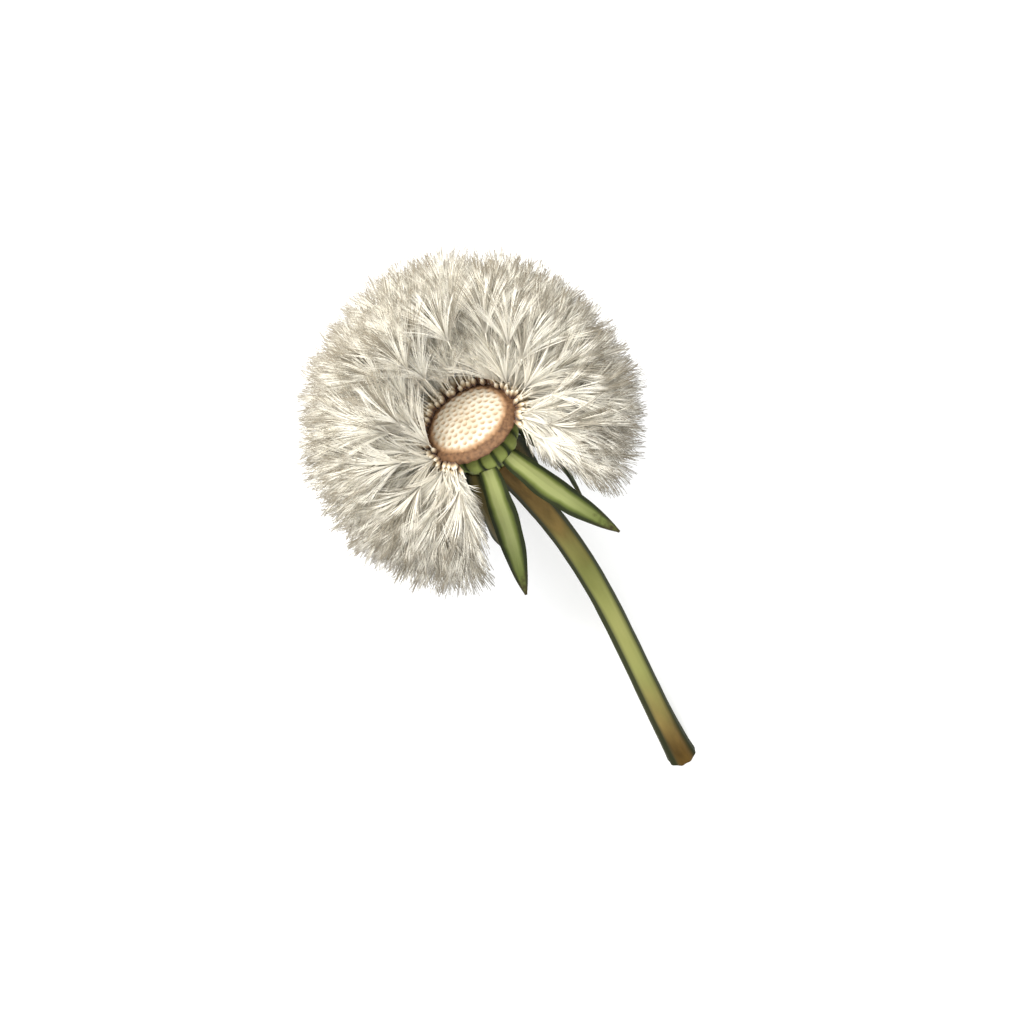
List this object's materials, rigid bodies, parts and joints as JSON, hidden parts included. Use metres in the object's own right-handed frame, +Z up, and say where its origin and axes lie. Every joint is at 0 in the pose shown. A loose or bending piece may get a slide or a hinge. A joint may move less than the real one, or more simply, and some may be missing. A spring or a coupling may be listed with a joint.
{
  "type": "dandelion seed head",
  "caption": "Partly blown dandelion clock on a short cut stem, lying on its side: fluffy ball of seeds round a bare pitted receptacle, bracts folded back.",
  "frame": {"origin": "Middle of the base of the box round the whole object, on the surface it lies on.", "axes": "+X along the stem from the head to the cut end, the longest extent. +Z up from the surface. +Y across."},
  "size_m": [0.0852, 0.0408, 0.038],
  "materials": {
    "pappus_seed": "soft matte ivory hairs with brown achenes",
    "receptacle": "matte cream, pitted, brown rim",
    "involucre": "satin leaf green",
    "bract": "satin leaf green, darker edges",
    "stem": "satin yellow-green, brown at both ends"
  },
  "bodies": {
    "root": {"bract_1": "bract", "bract_2": "bract", "bract_3": "bract", "bract_4": "bract", "bract_5": "bract", "bract_6": "bract", "involucre": "involucre", "receptacle": "receptacle", "seed_01": "pappus_seed", "seed_02": "pappus_seed", "seed_03": "pappus_seed", "seed_04": "pappus_seed", "seed_05": "pappus_seed", "seed_06": "pappus_seed", "seed_07": "pappus_seed", "seed_08": "pappus_seed", "seed_09": "pappus_seed", "seed_10": "pappus_seed", "seed_11": "pappus_seed", "seed_12": "pappus_seed", "seed_13": "pappus_seed", "seed_14": "pappus_seed", "seed_15": "pappus_seed", "seed_16": "pappus_seed", "seed_17": "pappus_seed", "seed_18": "pappus_seed", "seed_19": "pappus_seed", "seed_20": "pappus_seed", "seed_21": "pappus_seed", "seed_22": "pappus_seed", "seed_23": "pappus_seed", "seed_24": "pappus_seed", "seed_25": "pappus_seed", "seed_26": "pappus_seed", "seed_27": "pappus_seed", "seed_28": "pappus_seed", "seed_29": "pappus_seed", "seed_30": "pappus_seed", "seed_31": "pappus_seed", "seed_32": "pappus_seed", "seed_33": "pappus_seed", "seed_34": "pappus_seed", "seed_35": "pappus_seed", "seed_36": "pappus_seed", "seed_37": "pappus_seed", "seed_38": "pappus_seed", "seed_39": "pappus_seed", "seed_40": "pappus_seed", "seed_41": "pappus_seed", "seed_42": "pappus_seed", "seed_43": "pappus_seed", "seed_44": "pappus_seed", "seed_45": "pappus_seed", "seed_46": "pappus_seed", "stem": "stem"}
  },
  "joints": []
}
